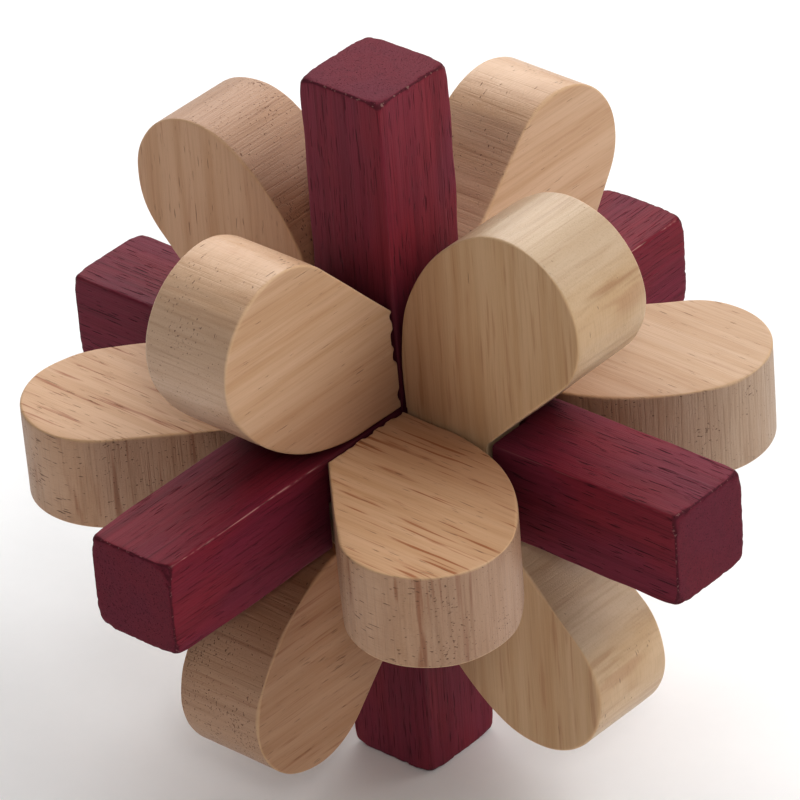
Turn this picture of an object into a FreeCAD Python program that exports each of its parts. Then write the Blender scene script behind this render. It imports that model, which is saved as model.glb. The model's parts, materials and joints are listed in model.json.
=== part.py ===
import FreeCAD, Part
import math
import os

# A nine-piece wooden burr puzzle. Three square bars cross at the centre, one along each axis, and six
# flat two-lobed plates stand round them, one on each arm of each bar. Every plate straddles an arm with
# a half-thickness web that lies in a lap notch of that bar, so the nine pieces lock one another.
# The key bar has longer notches than the other two. It slides forward, along -Y, with the front plate
# and the two side plates, and that is the only way into the puzzle.
#
# Millimetres. +Z is up along the upright bar, and the origin is the point where the bars cross.

# Driving dimensions
bar_width = 12.0
bar_length = 92.0
bar_edge_radius = 0.4
bar_end_radius = 1.0

plate_thickness = bar_width
plate_edge_radius = 0.5
lobe_radius = 10.0
lobe_along = 24.4
lobe_out = 23.3
flank_start = 12.6
web_top = 18.6

slip = 0.3
shoulder_gap = 0.8
key_travel = 7.0

# Worked out from them
half_bar = bar_width / 2
half_plate = plate_thickness / 2
half_slip = slip / 2
plate_foot = half_bar + slip
dado_half_width = half_bar + slip
lap_reach = web_top + shoulder_gap
crossing_reach = half_bar + slip

X_AXIS = FreeCAD.Vector(1, 0, 0)
Y_AXIS = FreeCAD.Vector(0, 1, 0)
Z_AXIS = FreeCAD.Vector(0, 0, 1)


def block(low, high):
    """A box between two corners."""
    return Part.makeBox(
        high[0] - low[0],
        high[1] - low[1],
        high[2] - low[2],
        FreeCAD.Vector(*low),
    )


def stand_on_axes(shape, first, second, third):
    """Turns a shape so that its own x, y and z run along three directions of the puzzle."""
    turn = FreeCAD.Matrix(
        first.x, second.x, third.x, 0,
        first.y, second.y, third.y, 0,
        first.z, second.z, third.z, 0,
        0, 0, 0, 1,
    )
    turned = shape.copy()
    turned.Placement = FreeCAD.Placement(turn)
    return turned


def edges_where(shape, test):
    """The edges whose midpoint passes a test."""
    return [edge for edge in shape.Edges if test(edge.valueAt((edge.FirstParameter + edge.LastParameter) / 2))]


def bar(lap_low, lap_high, crossing_low, crossing_high):
    """A square bar along its own x, with its arrises eased.

    The lap notch takes the lower half of its thickness in y, where the webs of two plates lie. In the
    crossing notch the upper half in z goes too, which leaves a quarter of the section to pass the
    other two bars.
    """
    half_length = bar_length / 2
    blank = block((-half_length, -half_bar, -half_bar), (half_length, half_bar, half_bar))
    long_edges = edges_where(blank, lambda p: abs(p.x) < half_bar)
    blank = blank.makeFillet(bar_edge_radius, long_edges)
    end_edges = edges_where(blank, lambda p: abs(p.x) > half_length - bar_edge_radius)
    blank = blank.makeFillet(bar_end_radius, end_edges)
    lap = block((lap_low, -bar_width, -bar_width), (lap_high, half_slip, bar_width))
    crossing = block((crossing_low, -bar_width, -half_slip), (crossing_high, bar_width, bar_width))
    return blank.cut(lap).cut(crossing)


def plate_outline():
    """The closed outline of a plate in its own x, along its length, and y, outwards from the foot.

    Each lobe is a round end on the diagonal. Outside, a large arc runs from the flat foot into the
    round end. Inside, a straight flank leaves it at 45 degrees and comes down to the top of the web.
    """
    lobe = FreeCAD.Vector(lobe_along, lobe_out, 0)
    across = lobe_along - flank_start
    rise = lobe_out - plate_foot
    flank_radius = (across**2 + rise**2 - lobe_radius**2) / (2 * (rise - lobe_radius))
    flank_centre = FreeCAD.Vector(flank_start, plate_foot + flank_radius, 0)
    meet_angle = math.atan2(lobe.y - flank_centre.y, lobe.x - flank_centre.x)
    flank_middle_angle = (meet_angle - math.pi / 2) / 2
    inner_angle = math.radians(135)

    def around(centre, radius, angle):
        return centre + FreeCAD.Vector(radius * math.cos(angle), radius * math.sin(angle), 0)

    def mirrored(point):
        return FreeCAD.Vector(-point.x, point.y, 0)

    foot = FreeCAD.Vector(flank_start, plate_foot, 0)
    flank_middle = around(flank_centre, flank_radius, flank_middle_angle)
    meet = around(lobe, lobe_radius, meet_angle)
    lobe_middle = around(lobe, lobe_radius, (meet_angle + inner_angle) / 2)
    leave = around(lobe, lobe_radius, inner_angle)
    notch = FreeCAD.Vector(leave.x - (leave.y - web_top), web_top, 0)

    right = [
        Part.Arc(foot, flank_middle, meet).toShape(),
        Part.Arc(meet, lobe_middle, leave).toShape(),
        Part.LineSegment(leave, notch).toShape(),
    ]
    left = [
        Part.LineSegment(mirrored(notch), mirrored(leave)).toShape(),
        Part.Arc(mirrored(leave), mirrored(lobe_middle), mirrored(meet)).toShape(),
        Part.Arc(mirrored(meet), mirrored(flank_middle), mirrored(foot)).toShape(),
    ]
    top = Part.LineSegment(notch, mirrored(notch)).toShape()
    bottom = Part.LineSegment(mirrored(foot), foot).toShape()
    return Part.Wire(right + [top] + left + [bottom])


def plate():
    """A two-lobed plate, centred on the middle of its thickness, with its web at negative z."""
    face = Part.Face(plate_outline())
    face.translate(FreeCAD.Vector(0, 0, -half_plate))
    blank = face.extrude(FreeCAD.Vector(0, 0, plate_thickness))
    rim = edges_where(blank, lambda p: abs(p.z) > half_plate - plate_edge_radius)
    blank = blank.makeFillet(plate_edge_radius, rim)
    dado = block((-dado_half_width, 0, -half_slip), (dado_half_width, bar_length, plate_thickness))
    return blank.cut(dado)


def save(name, shape):
    """Writes one piece to its own file, after making sure that it is one closed solid."""
    if not shape.isValid() or len(shape.Solids) != 1:
        raise ValueError(name + " is not one valid solid")
    shape.Solids[0].exportStep("parts/" + name + ".step")


def main():
    os.makedirs("parts", exist_ok=True)

    plain_bar = bar(-lap_reach, lap_reach, -crossing_reach, crossing_reach)
    save("upright_bar", stand_on_axes(plain_bar, Z_AXIS, X_AXIS, Y_AXIS))
    save("cross_bar", stand_on_axes(plain_bar, X_AXIS, Y_AXIS, Z_AXIS))

    long_notched_bar = bar(-lap_reach, lap_reach + key_travel, -crossing_reach, key_travel + slip)
    save("key_bar", stand_on_axes(long_notched_bar, Y_AXIS, Z_AXIS, X_AXIS))

    # Each plate's outward direction, and the side of it that its dado is open to.
    plates = {
        "top_plate": (Z_AXIS, X_AXIS),
        "bottom_plate": (-Z_AXIS, X_AXIS),
        "front_plate": (-Y_AXIS, Z_AXIS),
        "back_plate": (Y_AXIS, Z_AXIS),
        "right_plate": (X_AXIS, Y_AXIS),
        "left_plate": (-X_AXIS, Y_AXIS),
    }
    two_lobed_plate = plate()
    for name, (outward, open_side) in plates.items():
        length = outward.cross(open_side)
        save(name, stand_on_axes(two_lobed_plate, length, outward, open_side))


main()
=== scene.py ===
import json
import math

import bmesh
import bpy
import numpy as np
from mathutils import Matrix, Vector


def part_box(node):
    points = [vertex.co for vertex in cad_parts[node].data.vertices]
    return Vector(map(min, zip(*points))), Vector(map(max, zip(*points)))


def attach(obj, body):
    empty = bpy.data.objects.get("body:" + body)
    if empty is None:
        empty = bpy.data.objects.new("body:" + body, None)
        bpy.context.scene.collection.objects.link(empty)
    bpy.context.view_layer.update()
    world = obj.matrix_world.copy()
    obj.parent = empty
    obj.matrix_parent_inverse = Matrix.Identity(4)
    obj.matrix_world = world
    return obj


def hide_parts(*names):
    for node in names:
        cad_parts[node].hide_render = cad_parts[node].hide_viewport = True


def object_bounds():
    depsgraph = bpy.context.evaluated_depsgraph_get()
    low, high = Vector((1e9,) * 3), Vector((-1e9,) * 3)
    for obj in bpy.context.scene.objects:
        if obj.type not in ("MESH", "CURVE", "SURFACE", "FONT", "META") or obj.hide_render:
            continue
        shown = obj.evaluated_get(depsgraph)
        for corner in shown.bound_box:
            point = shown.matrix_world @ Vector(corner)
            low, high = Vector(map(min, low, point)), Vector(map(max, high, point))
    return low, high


# A nine-piece wooden burr puzzle: three burgundy bars that cross at the middle, and six pale
# two-lobed plates round them. Every piece is one closed surface worked out here, in the place of the
# plain solid that it is named after, and a solid wood pattern runs through it along its own grain.
#
# Metres. +Z is up along the upright bar, and the origin is the point where the bars cross.

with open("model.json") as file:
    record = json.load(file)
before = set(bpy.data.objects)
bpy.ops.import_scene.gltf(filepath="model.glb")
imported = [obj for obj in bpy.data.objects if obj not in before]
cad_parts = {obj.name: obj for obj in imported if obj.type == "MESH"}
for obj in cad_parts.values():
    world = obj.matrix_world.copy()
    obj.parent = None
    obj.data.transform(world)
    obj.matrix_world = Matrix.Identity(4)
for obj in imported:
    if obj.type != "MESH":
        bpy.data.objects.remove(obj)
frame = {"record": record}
cad_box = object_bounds()

MM = 0.001
X_AXIS = Vector((1, 0, 0))
Y_AXIS = Vector((0, 1, 0))
Z_AXIS = Vector((0, 0, 1))

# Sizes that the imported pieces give
bar_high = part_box("upright_bar")[1]
plate_low, plate_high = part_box("top_plate")
half_bar = bar_high.x
half_length = bar_high.z
half_plate = plate_high.x
plate_foot = plate_low.z

# Sizes of the shapes inside those boxes
lobe_radius = 10.0 * MM
flank_start = 12.6 * MM
web_top = 18.6 * MM
slip = plate_foot - half_bar
half_slip = slip / 2
shoulder_gap = 0.8 * MM
key_travel = frame["record"]["behaviour"]["joints"][0]["range_m"][1]
lobe_along = plate_high.y - lobe_radius
lobe_out = plate_high.z - lobe_radius
dado_half_width = half_bar + slip
web_level = -half_slip
lap_reach = web_top + shoulder_gap
crossing_reach = half_bar + slip

# How far a notched stretch stands in from the faces beside it, so that no face is folded flat
hairline = 0.04 * MM

# Easing of the edges. The bars' end radius grows to the corner radius over the outer share of each
# side, and their long edges grow to it over the corner run.
bar_edge_radius = 0.34 * MM
bar_end_radius = 0.38 * MM
bar_corner_radius = 0.80 * MM
bar_corner_share = 0.3
bar_corner_run = 2.4 * MM
plate_edge_radius = 0.30 * MM

# Unevenness of hand-worked wood, with its wavelengths. A waver is a share of a radius. A nick starts
# where its field passes the threshold, a bite where its field passes minus the lift, and both stop
# growing at a limit. A bite goes down by a share of what it takes off the side.
waves = 14
bar_edge_waver = 0.28
bar_edge_waver_length = 7 * MM
bar_edge_waver_limits = (0.45, 1.6)
plate_edge_waver = 0.3
plate_edge_waver_length = 9 * MM
plate_edge_waver_limits = (0.5, 1.7)
nick_depth = 0.07 * MM
nick_length = 1.1 * MM
nick_threshold = 0.55
nick_limit = 2.0
ridge_depth = 0.012 * MM
ridge_lengths = (16 * MM, 0.9 * MM, 0.9 * MM)
bite_length = 2.6 * MM
bite_lift = 0.2
bite_limit = 1.6
bite_drop = 0.5
sanding_depth = 0.012 * MM
sanding_lengths = (1.9 * MM, 1.9 * MM, 24 * MM)
bar_warp_depth = 0.035 * MM
bar_warp_length = 30 * MM
plate_warp_depth = 0.04 * MM
plate_warp_length = 26 * MM

# Points closer than this are one point, and edges sharper than this stay sharp in the shading
weld_distance = MM / 1000
sharp_angle = math.radians(40)


def unevenness(points, wavelength, seed):
    """A smooth field over points, of average 0 and spread 1, with a wavelength along each axis.

    It is a sum of plane waves: the cosine of each wave's direction times the point, plus its phase.
    """
    random = np.random.default_rng(seed)
    directions = random.normal(size=(3, waves))
    directions /= np.linalg.norm(directions, axis=0)
    counts = random.uniform(0.6, 1.5, waves)
    phases = random.uniform(0, 2 * math.pi, waves)
    turns = (points / np.asarray(wavelength)) @ (directions * counts)
    return np.cos(2 * math.pi * turns + phases).sum(axis=-1) * math.sqrt(2 / waves)


def warped(points, wavelength, depth, seed):
    """Moves each point by a smooth uneven amount along each of the three axes."""
    shifts = [unevenness(points, wavelength, seed + axis) for axis in range(3)]
    return points + depth * np.stack(shifts, axis=-1)


def smooth_rise(values):
    """0 below 0 and 1 above 1, with three times the square less twice the cube between."""
    clamped = np.clip(values, 0, 1)
    return clamped * clamped * (3 - 2 * clamped)


def quads_between(rows, points):
    """Corner numbers of the quads that join each closed row of points to the next one."""
    here = np.arange(rows * points).reshape(rows, points)
    beside = np.roll(here, -1, axis=1)
    return np.stack([here[:-1], beside[:-1], beside[1:], here[1:]], axis=-1).reshape(-1, 4)


def make_piece(name, vertices, faces, arris, axes):
    """A mesh object with the share of eased edge at each vertex, the mask for pale edge marks that are
    partly painted highlight, turned to its place by its axes.
    """
    placed = vertices @ np.array(axes)
    mesh = bpy.data.meshes.new(name)
    mesh.from_pydata(placed.tolist(), [], faces)
    mesh.attributes.new("arris", "FLOAT", "POINT").data.foreach_set("value", arris)
    loose = bmesh.new()
    loose.from_mesh(mesh)
    bmesh.ops.remove_doubles(loose, verts=loose.verts, dist=weld_distance)
    loose.to_mesh(mesh)
    loose.free()
    mesh.shade_smooth()
    mesh.set_sharp_from_angle(angle=sharp_angle)
    piece = bpy.data.objects.new(name, mesh)
    bpy.context.scene.collection.objects.link(piece)
    return piece


# Bars

bar_corner_points = 9
bar_side_points = 30
bar_station = 0.45 * MM
bar_end_rings = 7
bar_face_rings = 14
arris_sharpness = 20


def rounded_square():
    """Points round a square with rounded corners, as the square's own point and a direction.

    A corner keeps its point while its direction sweeps a quarter turn, and a side keeps its direction
    while its point crosses from corner to corner. The third result is 1 on the arris of each corner:
    the sine of twice the angle through the corner, to a high power.
    """
    sweep = np.linspace(0, math.pi / 2, bar_corner_points)
    across = np.linspace(1, -1, bar_side_points + 2)[1:-1]
    corner = np.ones((bar_corner_points, 2))
    side = np.stack([across, np.ones_like(across)], axis=-1)
    corner_direction = np.stack([np.cos(sweep), np.sin(sweep)], axis=-1)
    side_direction = np.stack([np.zeros_like(across), np.ones_like(across)], axis=-1)
    quarter_points = np.concatenate([corner, side])
    quarter_directions = np.concatenate([corner_direction, side_direction])
    quarter_arris = np.concatenate([np.sin(2 * sweep) ** arris_sharpness, np.zeros_like(across)])
    quarter_turn = np.array([[0, 1], [-1, 0]])
    turns = [np.linalg.matrix_power(quarter_turn, quarter) for quarter in range(4)]
    points = np.concatenate([quarter_points @ turn for turn in turns])
    directions = np.concatenate([quarter_directions @ turn for turn in turns])
    return points, directions, np.tile(quarter_arris, 4)


def bar_stretches(lap_low, lap_high, crossing_low, crossing_high):
    """The stations along a bar and its section at each: the low and high corner of a rectangle.

    Where one stretch ends and the next begins, two stations share a place and make the shoulder.
    """
    end = half_length - bar_corner_radius
    whole = np.array([-half_bar, -half_bar, half_bar, half_bar])
    inset = hairline * np.array([1, 1, -1, -1])
    lapped = whole + inset
    lapped[0] = half_slip
    crossed = whole + 2 * inset
    crossed[0] = half_slip
    crossed[3] = -half_slip
    marks = [-end, lap_low, crossing_low, crossing_high, lap_high, end]
    kinds = [whole, lapped, crossed, lapped, whole]
    along = []
    sections = []
    for start, stop, kind in zip(marks, marks[1:], kinds):
        count = 1 + math.ceil((stop - start) / bar_station)
        along.append(np.linspace(start, stop, count))
        sections.append(np.tile(kind, (count, 1)))
    return np.concatenate(along), np.concatenate(sections)


def bar_surface(seed, lap_low, lap_high, crossing_low, crossing_high):
    """A square bar along its own x: rounded squares on stations, with eased ends.

    The eased end follows a quarter circle, of a radius that grows towards the corners: one less its
    sine goes back along the bar and one less its cosine goes in from the faces. Rings that shrink to
    the middle close the flat end grain. Nicks cut into the end edges where their field passes a
    threshold, fine ridges run along the sides, and the whole bar is slightly warped.
    """
    along, sections = bar_stretches(lap_low, lap_high, crossing_low, crossing_high)
    body = len(along)
    sweep = np.linspace(0, math.pi / 2, bar_end_rings + 1)[1:]
    shrink = np.linspace(1, 0, bar_face_rings + 1)[1:]
    setback = np.concatenate([1 - np.sin(sweep), np.zeros_like(shrink)])
    inward = np.concatenate([1 - np.cos(sweep), np.ones_like(shrink)])
    spread = np.concatenate([np.ones_like(sweep), shrink])
    edge = np.concatenate([np.sin(2 * sweep), np.zeros_like(shrink)])

    tip = np.full(len(setback), half_length)
    along = np.concatenate([-tip, along, tip])
    first = np.tile(sections[0], (len(setback), 1))
    last = np.tile(sections[-1], (len(setback), 1))
    sections = np.concatenate([first, sections, last])
    setback = np.concatenate([setback[::-1], np.zeros(body), setback])
    inward = np.concatenate([inward[::-1], np.zeros(body), inward])
    spread = np.concatenate([spread[::-1], np.ones(body), spread])
    edge = np.concatenate([edge[::-1], np.zeros(body), edge])

    square, direction, peak = rounded_square()
    to_corner = smooth_rise((np.abs(square).min(axis=1) - (1 - bar_corner_share)) / bar_corner_share)
    end_radius = bar_end_radius + (bar_corner_radius - bar_end_radius) * to_corner
    middle = (sections[:, :2] + sections[:, 2:]) / 2
    half = (sections[:, None, 2:] - sections[:, None, :2]) / 2 - (inward[:, None] * end_radius)[..., None]
    near_end = smooth_rise((np.abs(along) - half_length) / bar_corner_run + 1)
    places = np.empty((len(along), len(square), 3))
    places[..., 0] = along[:, None] - np.sign(along)[:, None] * setback[:, None] * end_radius
    places[..., 1:] = square * half_bar
    waver = 1 + bar_edge_waver * unevenness(places, bar_edge_waver_length, seed)
    radius = bar_edge_radius + (bar_corner_radius - bar_edge_radius) * near_end
    radius = radius[:, None, None] * np.clip(waver, *bar_edge_waver_limits)[..., None]
    flat = (half - radius) * square + radius * direction
    places[..., 1:] = middle[:, None, :] + spread[:, None, None] * flat

    nick = np.clip(unevenness(places, nick_length, seed + 1) - nick_threshold, 0, nick_limit)
    depth = nick_depth * nick * edge[:, None]
    ridge = ridge_depth * unevenness(places, ridge_lengths, seed + 2) * spread[:, None]
    places[..., 1:] += direction * (ridge - depth)[..., None]
    places[..., 0] -= np.sign(along)[:, None] * depth
    places = warped(places, bar_warp_length, bar_warp_depth, seed + 3)
    # The arris marks, partly painted highlight, stop short of the crossing and of the rounded ends
    open_air = smooth_rise((np.abs(along) - lap_reach) / bar_corner_run) * (1 - near_end)
    arris = (peak * open_air[:, None]).ravel()
    return places, arris


def make_bar(name, seed, axes, notches):
    """One bar, made as a lofted surface and stood on its axes."""
    places, arris = bar_surface(seed, *notches)
    faces = quads_between(*places.shape[:2])
    return make_piece(name, places.reshape(-1, 3), faces.tolist(), arris, axes)


# Plates

web_stations = 13
flank_stations = 60
lobe_stations = 84
plate_face_rows = 20
plate_rim_rows = 6
plate_band_rows = 26

# Up each wall of the dado the section climbs to nearly full thickness. The bites in the wall's edge
# deepen on the way up, and fade out over the first stations of the face beyond.
wall_climb = 0.97
wall_chips = (0.0, 0.0, 0.15, 0.4, 0.75)
edge_chips = (1.0, 0.35)
wall_stations = len(wall_chips)


def turned(angles):
    """Unit directions at some angles: their cosines and sines."""
    return np.stack([np.cos(angles), np.sin(angles)], axis=-1)


def half_outline():
    """The right half of a plate's outline, from the middle of its foot up and round to its web top.

    Gives for each station its point, its outward direction, the point on the plate's middle line that
    its section runs to, the share of full thickness there, and the share of chipping.
    A large arc meets the lobe's circle where both have the same tangent: its radius is
    (across squared + rise squared - lobe radius squared) / (twice (rise - lobe radius)).
    """
    lobe = np.array([lobe_along, lobe_out])
    across = lobe_along - flank_start
    rise = lobe_out - plate_foot
    flank_radius = (across**2 + rise**2 - lobe_radius**2) / (2 * (rise - lobe_radius))
    flank_centre = np.array([flank_start, plate_foot + flank_radius])
    meet_angle = math.atan2(*(lobe - flank_centre)[::-1])
    leave_angle = math.radians(135)
    leave_direction = turned(np.array(leave_angle))
    leave = lobe + lobe_radius * leave_direction
    spine_start = np.array([dado_half_width, (plate_foot + web_top) / 2])

    web = np.linspace(0, dado_half_width, web_stations)
    web_spine = np.stack([web, np.full_like(web, spine_start[1])], axis=-1)
    foot_points = np.stack([web, np.full_like(web, plate_foot)], axis=-1)
    foot_directions = np.tile([0.0, -1.0], (web_stations, 1))
    top_rise = np.maximum(web_top, web + leave[1] - leave[0])
    top_points = np.stack([web, top_rise], axis=-1)
    top_directions = np.where((top_rise > web_top)[:, None], leave_direction, [0.0, 1.0])

    share = np.linspace(0, 1, flank_stations)[:, None]
    spine = spine_start + share * (lobe - spine_start)
    flat = flank_start - dado_half_width
    run = share[:, 0] * (flat + flank_radius * (meet_angle + math.pi / 2))
    flank_angles = np.maximum(run - flat, 0) / flank_radius - math.pi / 2
    outer_directions = turned(flank_angles)
    outer_points = flank_centre + flank_radius * outer_directions
    outer_points[:, 0] -= np.maximum(flat - run, 0)
    inner_points = top_points[-1] + share * (leave - top_points[-1])
    inner_directions = np.tile(leave_direction, (flank_stations, 1))

    lobe_angles = np.linspace(meet_angle, leave_angle, lobe_stations)[1:-1]
    lobe_directions = turned(lobe_angles)
    lobe_points = lobe + lobe_radius * lobe_directions
    lobe_spine = np.tile(lobe, (len(lobe_angles), 1))

    def wall(point, direction, foot_of_section):
        return [np.tile(each, (wall_stations, 1)) for each in (point, direction, foot_of_section)]

    outer_wall = wall(foot_points[-1], foot_directions[-1], spine_start)
    inner_wall = wall(top_points[-1], top_directions[-1], spine_start)
    groups = [
        (foot_points, foot_directions, web_spine),
        outer_wall,
        (outer_points, outer_directions, spine),
        (lobe_points, lobe_directions, lobe_spine),
        (inner_points[::-1], inner_directions[::-1], spine[::-1]),
        inner_wall,
        (top_points[::-1], top_directions[::-1], web_spine[::-1]),
    ]
    points, directions, spines = (np.concatenate(column) for column in zip(*groups))

    climb = np.sqrt(np.linspace(0, 1, wall_stations + 1)[1:]) * wall_climb
    chipping = np.array(wall_chips)
    full = np.ones(2 * flank_stations + lobe_stations - 2)
    edge = np.zeros_like(full)
    edge[: len(edge_chips)] = edge_chips
    edge[-len(edge_chips) :] = edge_chips[::-1]
    nothing = np.zeros(web_stations)
    thickness = np.concatenate([nothing, climb, full, climb[::-1], nothing])
    chips = np.concatenate([nothing, chipping, edge, chipping[::-1], nothing])
    return points, directions, spines, thickness, chips


def whole_outline():
    """The closed outline, anticlockwise: the right half and its mirror image."""
    points, directions, spines, thickness, chips = half_outline()
    mirror = np.array([-1.0, 1.0])

    def closed(pairs):
        return np.concatenate([pairs, pairs[-2:0:-1] * mirror])

    def repeated(values):
        return np.concatenate([values, values[-2:0:-1]])

    return closed(points), closed(directions), closed(spines), repeated(thickness), repeated(chips)


def plate_profile():
    """The rows of a plate's section, from the middle of the back face round the band to the front.

    Columns: how far out from the middle line, the inset in back edge radii and in front edge radii,
    the lift in back radii, the drop in front radii, and the share of the way from back to front.
    """
    out = np.linspace(0, 1, plate_face_rows)[:-1]
    sweep = np.linspace(0, math.pi / 2, plate_rim_rows)
    up = np.linspace(0, 1, plate_band_rows + 2)[1:-1]
    face = np.zeros((len(out), 6))
    face[:, 0] = out
    back_face = face + [0, 1, 0, 0, 0, 0]
    front_face = face[::-1] + [0, 0, 1, 0, 0, 1]
    rim = np.zeros((len(sweep), 6)) + [1, 0, 0, 0, 0, 0]
    back_rim = rim.copy()
    back_rim[:, 1] = 1 - np.sin(sweep)
    back_rim[:, 3] = 1 - np.cos(sweep)
    front_rim = rim.copy()
    front_rim[:, 2] = 1 - np.cos(sweep)
    front_rim[:, 4] = 1 - np.sin(sweep)
    front_rim[:, 5] = 1
    band = np.tile([1.0, 0, 0, 1, 1, 0], (len(up), 1))
    band[:, 5] = up
    rows = np.concatenate([back_face, back_rim, band, front_rim, front_face])
    # The share of painted highlight along the eased edges
    edge_highlight = np.zeros(len(rows))
    first_rim = len(back_face)
    last_rim = len(rows) - len(front_face) - len(sweep)
    edge_highlight[first_rim : first_rim + len(sweep)] = np.sin(2 * sweep)
    edge_highlight[last_rim : last_rim + len(sweep)] = np.sin(2 * sweep)
    return rows, edge_highlight


def plate_surface(seed, chip_depth):
    """A two-lobed plate in its own x, along its length, y, outwards, and z, across its thickness.

    Each station of the outline carries the profile from the middle line, out along one face, round
    the eased edge, across the band and back along the other face. Across the dado the front face
    drops to the web's level, and small bites are missing from the dado's edge. The band has fine
    sanding waves, which fade over the last quarter of the way to each face.
    """
    points, directions, spines, thickness, chips = whole_outline()
    rows, edge_highlight = plate_profile()
    out, back_inset, front_inset, lift, drop, share = (column[:, None] for column in rows.T)

    full = thickness == 1
    stations = np.column_stack([points, np.zeros(len(points))])

    def wavering_radius(wave_seed):
        """The eased edge's radius at each station, times 1 and a limited waver."""
        waver = 1 + plate_edge_waver * unevenness(stations, plate_edge_waver_length, wave_seed)
        return plate_edge_radius * np.clip(waver, *plate_edge_waver_limits)

    front_radius = np.where(full, wavering_radius(seed), hairline)
    back_radius = wavering_radius(seed + 1)
    inset = np.where(full, 0, hairline)
    front = web_level + (half_plate - web_level) * thickness
    back = inset - half_plate

    step_in = inset + back_inset * back_radius + front_inset * front_radius
    rim = points[None] - directions[None] * step_in[..., None]
    flat = spines[None] + out[..., None] * (rim - spines[None])
    level = (1 - share) * (back + lift * back_radius) + share * (front - drop * front_radius)
    places = np.concatenate([flat, level[..., None]], axis=-1)

    bite = np.clip(unevenness(places * [0, 1, 0], bite_length, seed + 2) + bite_lift, 0, bite_limit)
    bite = chip_depth * bite * chips * (share == 1)
    side = np.sign(points[:, 0])
    places[..., 0] += side * bite
    places[..., 2] -= bite_drop * bite

    on_band = out * (1 - smooth_rise(np.abs(places[..., 2]) / half_plate * 4 - 3))
    sanded = sanding_depth * unevenness(places, sanding_lengths, seed + 3) * on_band**4
    places[..., :2] += directions[None] * sanded[..., None]
    places = warped(places, plate_warp_length, plate_warp_depth, seed + 4)
    arris = (edge_highlight[:, None] * full[None, :]).ravel()
    return places, arris


def make_plate(name, seed, axes, chip_depth):
    """One plate, made as a lofted surface and stood on its axes."""
    places, arris = plate_surface(seed, chip_depth)
    faces = quads_between(*places.shape[:2])
    return make_piece(name, places.reshape(-1, 3), faces.tolist(), arris, axes)


# Finishes


# Which sockets of a Mix node carry its two colours and its resulting colour
FIRST_COLOUR = 6
SECOND_COLOUR = 7
MIXED_COLOUR = 2


class Field:
    """A value worked out over a surface. It wraps a node's output, and its arithmetic adds Math nodes."""

    def __init__(self, finish, socket):
        self.finish = finish
        self.socket = socket

    def maths(self, operation, first, second):
        return self.finish.node("ShaderNodeMath", {"operation": operation}, {0: first, 1: second})

    def __add__(self, other):
        return self.maths("ADD", self, other)

    def __radd__(self, other):
        return self.maths("ADD", other, self)

    def __sub__(self, other):
        return self.maths("SUBTRACT", self, other)

    def __rsub__(self, other):
        return self.maths("SUBTRACT", other, self)

    def __mul__(self, other):
        return self.maths("MULTIPLY", self, other)

    def __rmul__(self, other):
        return self.maths("MULTIPLY", other, self)


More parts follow.
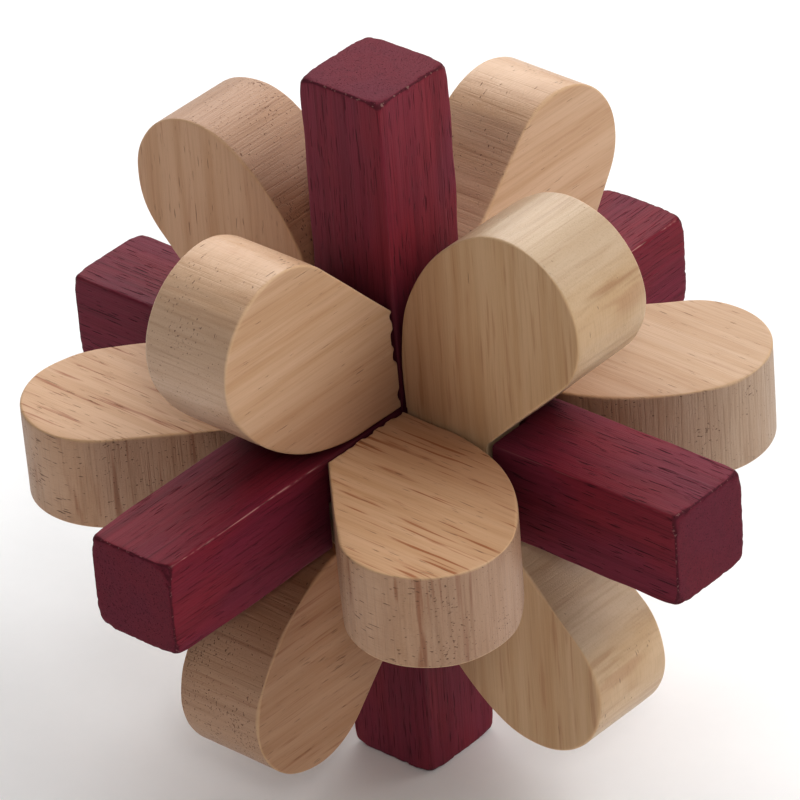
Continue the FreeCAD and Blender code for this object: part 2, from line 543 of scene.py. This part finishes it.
class Finish:
    """A material under construction, with short calls for its nodes."""

    def __init__(self, name):
        self.material = bpy.data.materials.new(name)
        self.material.use_nodes = True
        self.tree = self.material.node_tree
        self.tree.nodes.clear()

    def node(self, kind, settings=None, sockets=None, output=0):
        """Adds a node, sets it up, then fills its sockets. Gives one output, or none where it has none."""
        made = self.tree.nodes.new(kind)
        for name, value in (settings or {}).items():
            setattr(made, name, value)
        for name, value in (sockets or {}).items():
            if isinstance(value, Field):
                self.tree.links.new(value.socket, made.inputs[name])
            else:
                made.inputs[name].default_value = value
        return None if output is None else Field(self, made.outputs[output])

    def stretched(self, vector, along, across, through):
        """A position divided by a length along the grain and two lengths across it, in millimetres."""
        shares = (1 / along, 1 / across, 1 / through)
        return self.node("ShaderNodeVectorMath", {"operation": "MULTIPLY"}, {0: vector, 1: shares})

    def noise(self, vector, detail=2.0, roughness=0.5):
        """A smooth random value whose spots are about one unit of the position across."""
        sockets = {"Vector": vector, "Scale": 1.0, "Detail": detail, "Roughness": roughness}
        return self.node("ShaderNodeTexNoise", None, sockets)

    def rise(self, value, low, high):
        """0 at low and 1 at high, eased between."""
        sockets = {"Value": value, "From Min": low, "From Max": high}
        return self.node("ShaderNodeMapRange", {"interpolation_type": "SMOOTHSTEP"}, sockets)

    def mix(self, share, first, second):
        """A colour part of the way from the first to the second."""
        sockets = {"Factor": share, FIRST_COLOUR: first, SECOND_COLOUR: second}
        return self.node("ShaderNodeMix", {"data_type": "RGBA"}, sockets, MIXED_COLOUR)

    def shaded(self, share, colour, tone):
        """A colour multiplied by a tone, as far as the share says."""
        settings = {"data_type": "RGBA", "blend_type": "MULTIPLY"}
        sockets = {"Factor": share, FIRST_COLOUR: colour, SECOND_COLOUR: tone}
        return self.node("ShaderNodeMix", settings, sockets, MIXED_COLOUR)

    def grain_place(self, axes, offset):
        """The position in millimetres along the grain and across it, moved on to a part of the tree."""
        place = self.node("ShaderNodeTexCoord", output="Object")
        sockets = {
            "Vector": place,
            "Location": offset,
            "Rotation": Matrix(axes).to_euler(),
            "Scale": (1 / MM, 1 / MM, 1 / MM),
        }
        return self.node("ShaderNodeMapping", None, sockets)

    def facing(self, axis):
        """How squarely the surface faces along an axis: 1 straight on, 0 side on."""
        normal = self.node("ShaderNodeTexCoord", output="Normal")
        sockets = {0: normal, 1: axis}
        along = self.node("ShaderNodeVectorMath", {"operation": "DOT_PRODUCT"}, sockets, "Value")
        return self.size_of(along)

    def reach(self, axis):
        """How far out along an axis the surface lies, in millimetres."""
        place = self.node("ShaderNodeTexCoord", output="Object")
        sockets = {0: place, 1: axis / MM}
        return self.node("ShaderNodeVectorMath", {"operation": "DOT_PRODUCT"}, sockets, "Value")

    def size_of(self, value):
        """A value without its sign."""
        return self.node("ShaderNodeMath", {"operation": "ABSOLUTE"}, {0: value})

    def attribute(self, name):
        return self.node("ShaderNodeAttribute", {"attribute_name": name}, None, "Fac")

    def bump(self, height, distance):
        sockets = {"Height": height, "Strength": 1.0, "Distance": distance}
        return self.node("ShaderNodeBump", None, sockets)

    def done(self, colour, roughness, normal, specular):
        """Joins colour, roughness and normal to the surface."""
        sockets = {
            "Base Color": colour,
            "Roughness": roughness,
            "Normal": normal,
            "Specular IOR Level": specular,
        }
        shader = self.node("ShaderNodeBsdfPrincipled", None, sockets)
        self.node("ShaderNodeOutputMaterial", None, {"Surface": shader}, None)
        return self.material


def rgb(red, green, blue):
    return (red, green, blue, 1.0)


CRIMSON = rgb(0.196, 0.017, 0.029)
PLUM = rgb(0.168, 0.018, 0.036)
DEEP_WINE = rgb(0.062, 0.005, 0.010)
END_WINE = rgb(0.110, 0.013, 0.025)
# Dark wine for the pores and the dye-dark turn to the ends, also used as painted shade towards the bars'
# middles
PORE_AND_SHADE_WINE = rgb(0.022, 0.004, 0.007)
# Pink for specks rubbed through the dye at the ends, also used as painted highlight along the arrises
RUBBED_AND_GLINT_PINK = rgb(0.60, 0.32, 0.28)

PALE_TAN = rgb(0.64, 0.440, 0.290)
HONEY = rgb(0.54, 0.335, 0.190)
ORANGE_BROWN = rgb(0.37, 0.150, 0.060)
END_BEIGE = rgb(0.50, 0.360, 0.262)
PORE_BROWN = rgb(0.15, 0.075, 0.045)
# Painted highlight along the plates' eased edges
EDGE_HIGHLIGHT_GOLD = rgb(0.72, 0.48, 0.27)
LAYER_SHADE = rgb(0.72, 0.64, 0.57)
SCRATCH_SHADE = rgb(0.72, 0.65, 0.60)
FIBRE_SHADE = rgb(0.74, 0.67, 0.60)
PAINTED_FOOT_SHADE = rgb(0.68, 0.57, 0.53)
WHITE = rgb(1.0, 1.0, 1.0)

CARD_WHITE = rgb(0.95, 0.95, 0.95)
CARD_GREY = rgb(0.93, 0.93, 0.93)

# How deep each finish's relief is, and how strongly it reflects
dyed_relief = 0.08 * MM
pale_relief = 0.07 * MM
card_relief = 0.02 * MM
dyed_specular = 0.12
pale_specular = 0.38
card_specular = 0.1


def dyed_wood(name, axes, offset, tone, wear_and_glint, porosity):
    """Burgundy wood with an open grain: lengthwise tone bands, fine fibres and dark split pores.

    The ends take most of their colour from one tone of their own. The wood is darker where the sides
    turn over to the end, painted shade darkens it towards the bar's middle, where the pieces cross, and
    pale dashes run along the arrises, partly rubbed wear and partly painted highlight.
    """
    finish = Finish(name)
    place = finish.grain_place(axes, offset)
    facing_end = finish.facing(axes[0])
    end = finish.rise(facing_end, 0.45, 0.85)
    turning = finish.rise(facing_end, 0.15, 0.50) * (1.0 - finish.rise(facing_end, 0.75, 0.97))
    # The share of painted shade towards the bar's middle, where the pieces cross
    middle = 1.0 - finish.rise(finish.size_of(finish.reach(axes[0])), 15.0, 29.0)
    blotch = finish.noise(finish.stretched(place, 18, 7, 7), 2.0)
    band = finish.noise(finish.stretched(place, 50, 1.1, 1.1), 3.0, 0.6)
    fibre = finish.noise(finish.stretched(place, 22, 0.15, 0.15), 3.0, 0.6)
    pore_field = finish.noise(finish.stretched(place, 3.5, 0.18, 0.18), 1.0, 0.4)
    pore = finish.rise(pore_field, 0.64, 0.72)
    speck = finish.rise(finish.noise(finish.stretched(place, 0.4, 0.4, 0.4), 1.0), 0.62, 0.70)

    colour = finish.mix(finish.rise(blotch, 0.35, 0.65), CRIMSON, PLUM)
    colour = finish.mix(finish.rise(band, 0.45, 0.75) * 0.42, colour, DEEP_WINE)
    colour = finish.mix(finish.rise(fibre, 0.48, 0.72) * 0.55, colour, DEEP_WINE)
    colour = finish.mix(end * 0.60, colour, END_WINE)
    colour = finish.mix(turning * 0.50, colour, PORE_AND_SHADE_WINE)
    colour = finish.mix(turning * speck * 0.20, colour, RUBBED_AND_GLINT_PINK)
    colour = finish.mix(pore * porosity, colour, PORE_AND_SHADE_WINE)
    colour = finish.shaded(1.0, colour, tone)
    dashes = finish.rise(finish.noise(finish.stretched(place, 3.5, 2, 2), 3.0), 0.44, 0.58)
    # Pale dashes along the arrises: partly rubbed wear and partly painted highlight, strongest on the key
    # bar
    colour = finish.mix(finish.attribute("arris") * dashes * wear_and_glint, colour, RUBBED_AND_GLINT_PINK)
    # Painted shade: the wood darkens towards the bar's middle
    colour = finish.mix(middle * 0.60, colour, PORE_AND_SHADE_WINE)

    roughness = 0.46 + 0.12 * fibre + 0.10 * end + 0.2 * pore
    height = 0.45 * fibre + 0.25 * band - 0.9 * pore
    return finish.done(colour, roughness, finish.bump(height, dyed_relief), dyed_specular)


def pale_wood(name, axes, offset, tone, band_tone, streaking, poring, polish):
    """Natural tan wood: growth bands and orange streaks along the grain, brown pores, greyer end grain.

    The pores are long thin cells on the faces, and short open ones round the band. Painted shade
    darkens the wood towards the foot, where the pieces meet, and a painted highlight makes it golden
    along the eased edges.
    """
    finish = Finish(name)
    place = finish.grain_place(axes, offset)
    end = finish.rise(finish.facing(axes[0]), 0.25, 0.9)
    side = finish.rise(finish.facing(axes[2]), 0.5, 0.8)
    # The share of painted shade towards the foot, where the pieces meet
    foot = 1.0 - finish.rise(finish.reach(axes[1]), 7.0, 21.0)
    growth = finish.noise(finish.stretched(place, 60, 2.4, 16), 4.0, 0.6)
    streak_field = finish.noise(finish.stretched(place, 11, 0.55, 14), 2.0, 0.5)
    streak = finish.rise(streak_field, 0.57, 0.72)
    layer = finish.noise(finish.stretched(place, 30, 0.45, 18), 2.0, 0.5)
    fibre = finish.noise(finish.stretched(place, 8, 0.16, 0.16), 2.0, 0.6)
    long_pore_field = finish.noise(finish.stretched(place, 2.6, 0.17, 0.30), 1.0, 0.4)
    short_pore_field = finish.noise(finish.stretched(place, 2.8, 0.30, 0.20), 1.0, 0.4)
    sanding = finish.noise(finish.stretched(place, 0.30, 0.30, 9), 2.0, 0.6)
    patch = finish.noise(finish.stretched(place, 12, 3.5, 6), 2.0)
    long_pore = finish.rise(long_pore_field + 0.10 * patch + 0.06 * streak, poring + 0.04, poring + 0.13)
    short_pore = finish.rise(short_pore_field + 0.28 * patch, poring + 0.11, poring + 0.18)
    pore = long_pore * side + short_pore * (1.0 - side)

    colour = finish.mix(finish.rise(growth, 0.36, 0.70) * 0.9, PALE_TAN, HONEY)
    colour = finish.mix(streak * streaking, colour, ORANGE_BROWN)
    colour = finish.mix(end * 0.55, colour, END_BEIGE)
    layering = finish.rise(layer, 0.48, 0.75) * (0.45 - 0.25 * side)
    colour = finish.shaded(layering, colour, LAYER_SHADE)
    scratched = finish.rise(sanding, 0.45, 0.70) * (1.0 - side) * (1.0 - 0.8 * polish)
    colour = finish.shaded(scratched * 0.50, colour, SCRATCH_SHADE)
    colour = finish.shaded(finish.rise(fibre, 0.45, 0.75) * 0.30, colour, FIBRE_SHADE)
    colour = finish.mix(pore * (0.75 - 0.20 * side), colour, PORE_BROWN)
    # The tones carry painted shade on the bottom plate and on the front and left bands, and a painted
    # sheen on the right band
    colour = finish.shaded(1.0, colour, tone)
    colour = finish.shaded(1.0 - side, colour, band_tone)
    # Painted highlight: a golden line along the eased edges
    colour = finish.mix(finish.attribute("arris") * 0.40, colour, EDGE_HIGHLIGHT_GOLD)
    # Painted shade: the wood darkens towards the foot
    colour = finish.shaded(foot * 0.75, colour, PAINTED_FOOT_SHADE)

    roughness = 0.49 - 0.2 * polish * (1.0 - side) + 0.10 * fibre + 0.25 * pore
    height = 0.35 * fibre + 0.15 * layer - 0.6 * scratched - 0.8 * pore
    return finish.done(colour, roughness, finish.bump(height, pale_relief), pale_specular)


def studio_white(name):
    """Matt pale card for the floor, with a faint tooth."""
    finish = Finish(name)
    place = finish.node("ShaderNodeTexCoord", output="Object")
    sockets = {"Vector": place, "Scale": 400.0, "Detail": 3.0}
    tooth = finish.node("ShaderNodeTexNoise", None, sockets)
    colour = finish.mix(tooth, CARD_GREY, CARD_WHITE)
    return finish.done(colour, 0.9 + 0.05 * tooth, finish.bump(tooth, card_relief), card_specular)


# The pieces. A bar's axes are its length and its two sides, and a plate's are its length, its outward
# direction and the side that its dado is open to.

bar_axes = {
    "upright_bar": (Z_AXIS, X_AXIS, Y_AXIS),
    "cross_bar": (X_AXIS, Y_AXIS, Z_AXIS),
    "key_bar": (Y_AXIS, Z_AXIS, X_AXIS),
}
plain_notches = (-lap_reach, lap_reach, -crossing_reach, crossing_reach)
key_notches = (-lap_reach, lap_reach + key_travel, -crossing_reach, key_travel + slip)
bar_notches = {"upright_bar": plain_notches, "cross_bar": plain_notches, "key_bar": key_notches}
# Each bar's tone, how strong the pale dashes along its arrises are, which are partly rubbed wear and
# partly painted highlight, and how dark its pores are
bar_boards = {
    "upright_bar": (rgb(1.22, 1.55, 1.40), 0.05, 0.55),
    "cross_bar": (rgb(1.02, 1.08, 1.10), 0.12, 0.70),
    "key_bar": (rgb(1.04, 1.00, 1.08), 0.75, 0.35),
}

plate_sides = {
    "top_plate": (Z_AXIS, X_AXIS),
    "bottom_plate": (-Z_AXIS, X_AXIS),
    "front_plate": (-Y_AXIS, Z_AXIS),
    "back_plate": (Y_AXIS, Z_AXIS),
    "right_plate": (X_AXIS, Y_AXIS),
    "left_plate": (-X_AXIS, Y_AXIS),
}
# Each plate's wood: the tones of the whole plate and of its band, how strongly it is streaked, the
# level where its pores begin, so that a higher level leaves fewer, and how far its band is polished.
# The bottom plate's darker tone and the darker bands of the front and left plates are painted shade,
# and the right plate's paler, cooler band is a painted sheen.
plate_boards = {
    "top_plate": (rgb(1.03, 1.00, 0.99), WHITE, 0.18, 0.73, 0.8),
    # The bottom plate's darker tone is painted shade
    "bottom_plate": (rgb(0.77, 0.65, 0.57), WHITE, 0.50, 0.70, 0.6),
    # The front plate's darker band is painted shade
    "front_plate": (rgb(1.04, 0.96, 0.88), rgb(0.76, 0.74, 0.77), 1.0, 0.705, 0.5),
    "back_plate": (rgb(0.93, 0.93, 0.93), rgb(0.93, 0.94, 0.96), 0.20, 0.72, 0.4),
    # The right plate's paler, cooler band is a painted sheen
    "right_plate": (rgb(0.94, 0.92, 0.83), rgb(1.08, 1.15, 1.22), 0.35, 0.79, 0.9),
    # The left plate's darker band is painted shade
    "left_plate": (rgb(0.97, 0.88, 0.83), rgb(0.90, 0.85, 0.82), 0.25, 0.72, 0.4),
}
# How deep the bites in the dado edges of each plate are
plate_chipping = {
    "top_plate": 0.28 * MM,
    "bottom_plate": 0.22 * MM,
    "front_plate": 0.13 * MM,
    "back_plate": 0.20 * MM,
    "right_plate": 0.24 * MM,
    "left_plate": 0.20 * MM,
}
# The pieces' own seeds, and the places in the wood pattern that they are cut from, in millimetres
bar_seed = 100
plate_seed = 200
seed_step = 10
bar_cut_start = (0.0, 0.0, 9.0)
bar_cut_step = (31.0, 17.0, 23.0)
plate_cut_start = (40.0, 0.0, 0.0)
plate_cut_step = (53.0, 29.0, 13.0)

body_of_node = {
    node: body for body, nodes in frame["record"]["behaviour"]["bodies"].items() for node in nodes
}


def hand_over(piece, node, material):
    """Gives a finished piece its material and its place in the frame."""
    piece.data.materials.append(material)
    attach(piece, body_of_node[node])
    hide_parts(node)


def cut_place(start, step, count):
    """The place in the wood pattern that a piece is cut from: a start and a number of steps."""
    return tuple(low + each * count for low, each in zip(start, step))


def make_bars():
    for count, (node, axes) in enumerate(bar_axes.items()):
        bar = make_bar(node + "_wood", bar_seed + seed_step * count, axes, bar_notches[node])
        offset = cut_place(bar_cut_start, bar_cut_step, count)
        material = dyed_wood(node + "_burgundy", axes, offset, *bar_boards[node])
        hand_over(bar, node, material)


def make_plates():
    for count, (node, (outward, open_side)) in enumerate(plate_sides.items()):
        axes = (outward.cross(open_side), outward, open_side)
        plate = make_plate(node + "_wood", plate_seed + seed_step * count, axes, plate_chipping[node])
        offset = cut_place(plate_cut_start, plate_cut_step, count)
        material = pale_wood(node + "_tan", axes, offset, *plate_boards[node])
        hand_over(plate, node, material)


# The studio

camera_azimuth = math.radians(43.0)
camera_elevation = math.radians(32.4)
camera_roll = math.radians(-4.5)
overall = 2 * half_length
camera_distance = 8.03 * overall
camera_lift = 0.0166 * overall
camera_lens = 285.8

floor_reach = 3.0
surround_strength = 0.10
view_gamma = 0.9
# Each softbox's place, its side and its power in watts
softboxes = {
    "back_left_softbox": ((-0.80, 0.86, 0.95), 1.5, 24.0),
    "right_softbox": ((0.85, 0.62, 1.05), 1.4, 17.0),
    "left_softbox": ((-0.25, -1.25, 0.75), 1.0, 3.2),
    "front_softbox": ((0.58, -0.54, 0.62), 0.12, 1.2),
}


def make_camera():
    """A long lens at a three-quarter view from above, rolled a little clockwise."""
    level = Vector((math.cos(camera_azimuth), math.sin(camera_azimuth), 0))
    ahead = Vector((math.sin(camera_azimuth), -math.cos(camera_azimuth), 0))
    back = ahead * math.cos(camera_elevation) + Z_AXIS * math.sin(camera_elevation)
    above = back.cross(level)
    right = level * math.cos(camera_roll) + above * math.sin(camera_roll)
    up = back.cross(right)
    data = bpy.data.cameras.new("studio_camera")
    data.lens = camera_lens
    camera = bpy.data.objects.new("studio_camera", data)
    turn = Matrix((right, up, back)).transposed().to_4x4()
    camera.matrix_world = Matrix.Translation(back * camera_distance + up * camera_lift) @ turn
    bpy.context.scene.collection.objects.link(camera)
    bpy.context.scene.camera = camera


def make_softbox(name, place, side, power):
    """A square area light at a place, facing the middle of the puzzle."""
    data = bpy.data.lights.new(name, "AREA")
    data.size = side
    data.energy = power
    lamp = bpy.data.objects.new(name, data)
    lamp.location = place
    lamp.rotation_euler = Vector(place).to_track_quat("Z", "Y").to_euler()
    bpy.context.scene.collection.objects.link(lamp)


def make_studio():
    """A pale floor under the foot of the upright bar, an even white surround and soft lamps."""
    level = cad_box[0].z
    floor_mesh = bpy.data.meshes.new("studio_floor")
    quarters = [(-1, -1), (1, -1), (1, 1), (-1, 1)]
    corners = [(floor_reach * x, floor_reach * y, level) for x, y in quarters]
    floor_mesh.from_pydata(corners, [], [(0, 1, 2, 3)])
    floor_mesh.materials.append(studio_white("studio_card"))
    floor = bpy.data.objects.new("studio_floor", floor_mesh)
    bpy.context.scene.collection.objects.link(floor)

    world = bpy.data.worlds.new("studio_surround")
    world.use_nodes = True
    background = world.node_tree.nodes["Background"]
    background.inputs["Color"].default_value = WHITE
    background.inputs["Strength"].default_value = surround_strength
    bpy.context.scene.world = world
    view = bpy.context.scene.view_settings
    view.view_transform = "Standard"
    view.gamma = view_gamma

    for name, (place, side, power) in softboxes.items():
        make_softbox(name, place, side, power)


make_camera()
make_bars()
make_plates()
make_studio()
